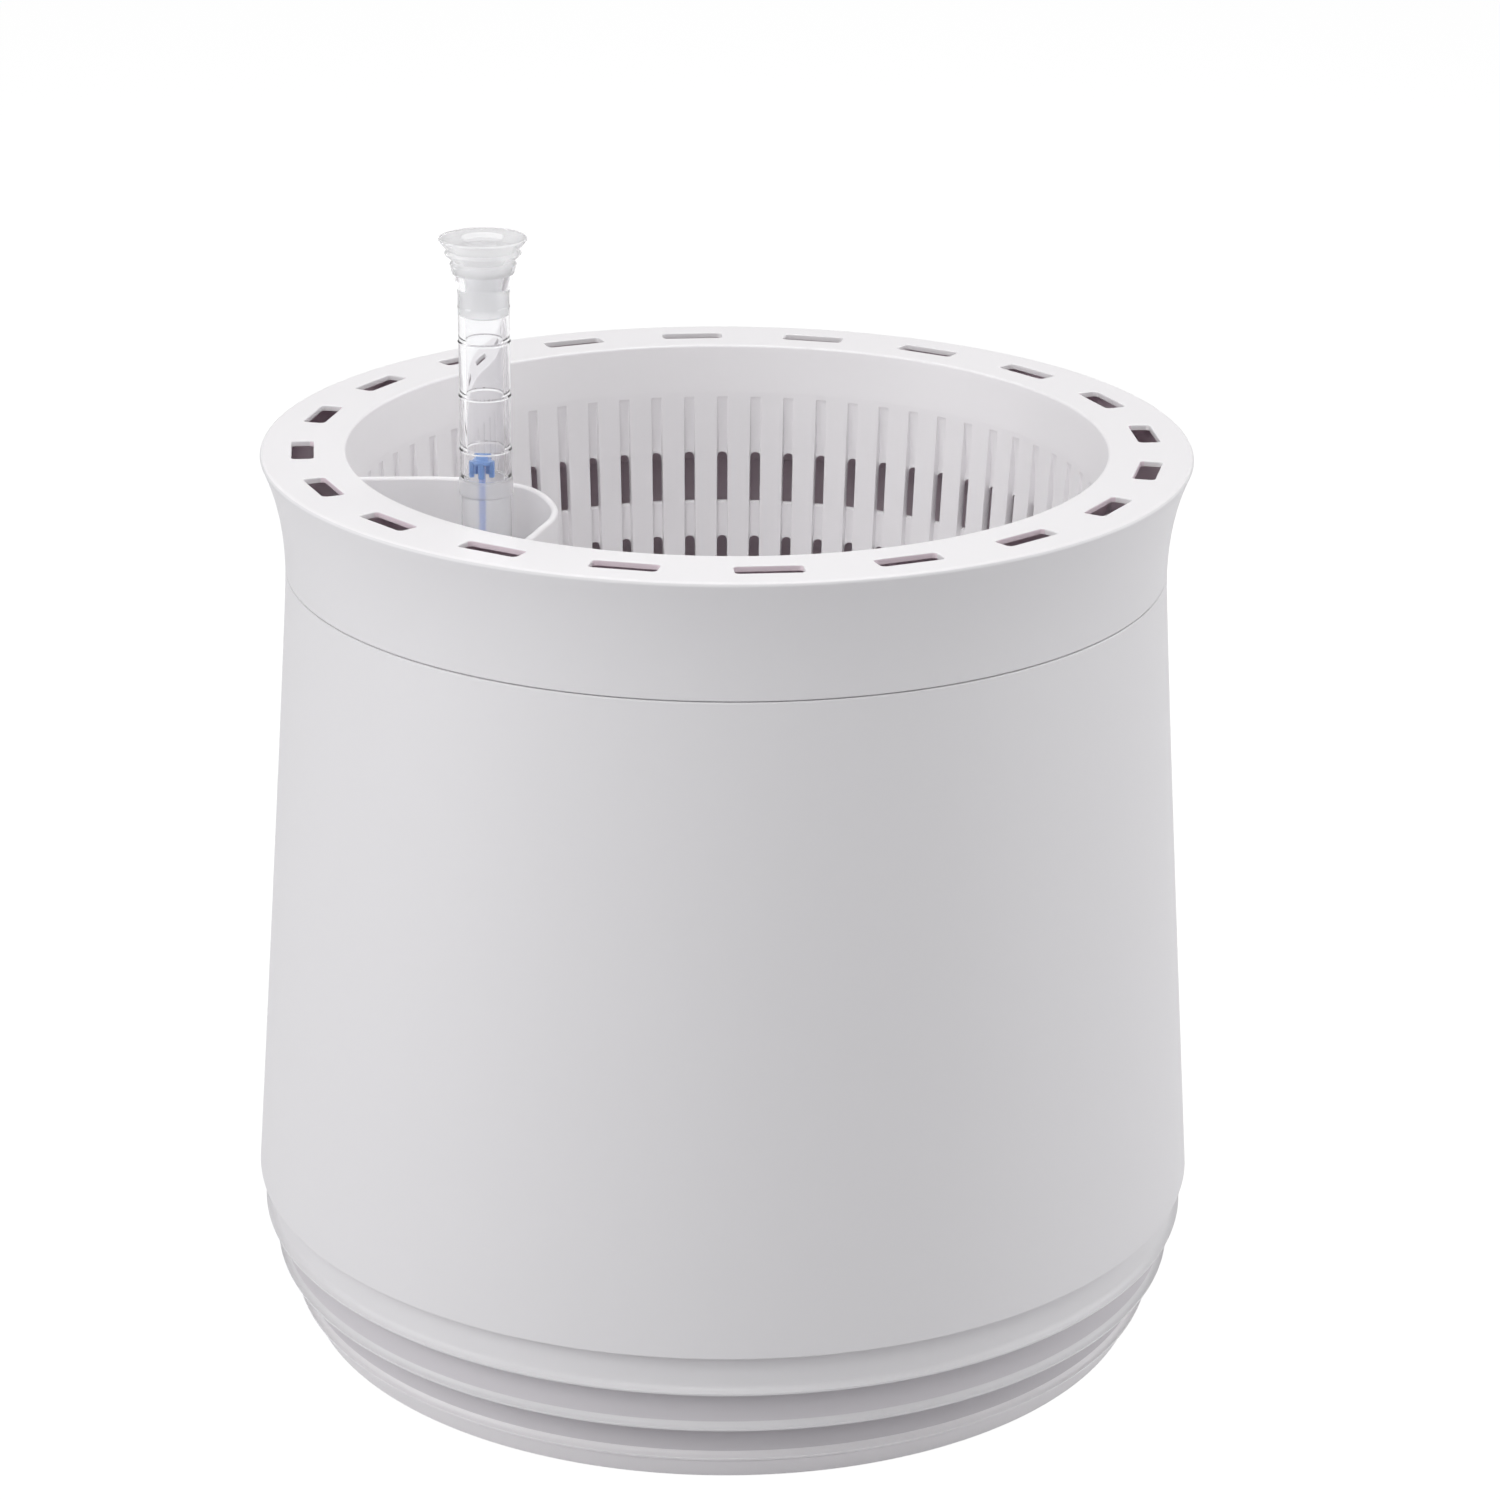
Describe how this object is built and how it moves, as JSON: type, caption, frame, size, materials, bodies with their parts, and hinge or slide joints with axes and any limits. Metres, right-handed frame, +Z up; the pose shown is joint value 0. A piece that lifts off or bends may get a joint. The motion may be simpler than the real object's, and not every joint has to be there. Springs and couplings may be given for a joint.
{
  "type": "planter air purifier",
  "caption": "Passive planter air purifier: ventilated basket in a tapered shell with louvred foot, slotted rim, filling shaft and clear float gauge.",
  "frame": {"origin": "on the ground under the pot's vertical axis", "axes": "+Z up, -Y front, +X to the right of someone who faces the front; the gauge stands front left"},
  "size_m": [0.2816, 0.2816, 0.3373],
  "materials": {
    "shell_plastic": "satin moulded white plastic, fine texture",
    "insert_plastic": "satin moulded white plastic, smooth",
    "foot_pads": "soft dark elastomer",
    "clear_gauge": "clear injection moulded polystyrene",
    "frosted_gauge": "milky translucent plastic",
    "indicator_blue": "blue moulded plastic",
    "float_foam": "closed-cell white foam"
  },
  "bodies": {
    "pot": {"base_pan": "shell_plastic", "foot_pad_1": "foot_pads", "foot_pad_2": "foot_pads", "foot_pad_3": "foot_pads", "foot_pad_4": "foot_pads", "water_tank": "shell_plastic", "louvre_ring_lower": "shell_plastic", "louvre_ring_middle": "shell_plastic", "louvre_ring_upper": "shell_plastic", "shell_ledge": "shell_plastic", "outer_shell": "shell_plastic"},
    "plant_insert": {"rim_collar": "insert_plastic", "plant_basket": "insert_plastic", "basket_floor": "insert_plastic", "root_well": "insert_plastic", "fill_shaft": "insert_plastic", "gauge_clip": "insert_plastic"},
    "gauge": {"gauge_tube": "clear_gauge", "gauge_stopper": "clear_gauge", "gauge_stem": "frosted_gauge", "gauge_foot": "frosted_gauge"},
    "indicator": {"indicator_head": "indicator_blue", "indicator_rod": "indicator_blue", "indicator_float": "float_foam"}
  },
  "joints": [
    {"name": "basket_lift", "type": "slide", "parent": "pot", "child": "plant_insert", "axis": [0, 0, 1], "range_m": [0, 0.235]},
    {"name": "gauge_pull", "type": "slide", "parent": "plant_insert", "child": "gauge", "axis": [0, 0, 1], "range_m": [0, 0.265]},
    {"name": "float_rise", "type": "slide", "parent": "gauge", "child": "indicator", "axis": [0, 0, 1], "range_m": [0, 0.033]}
  ]
}
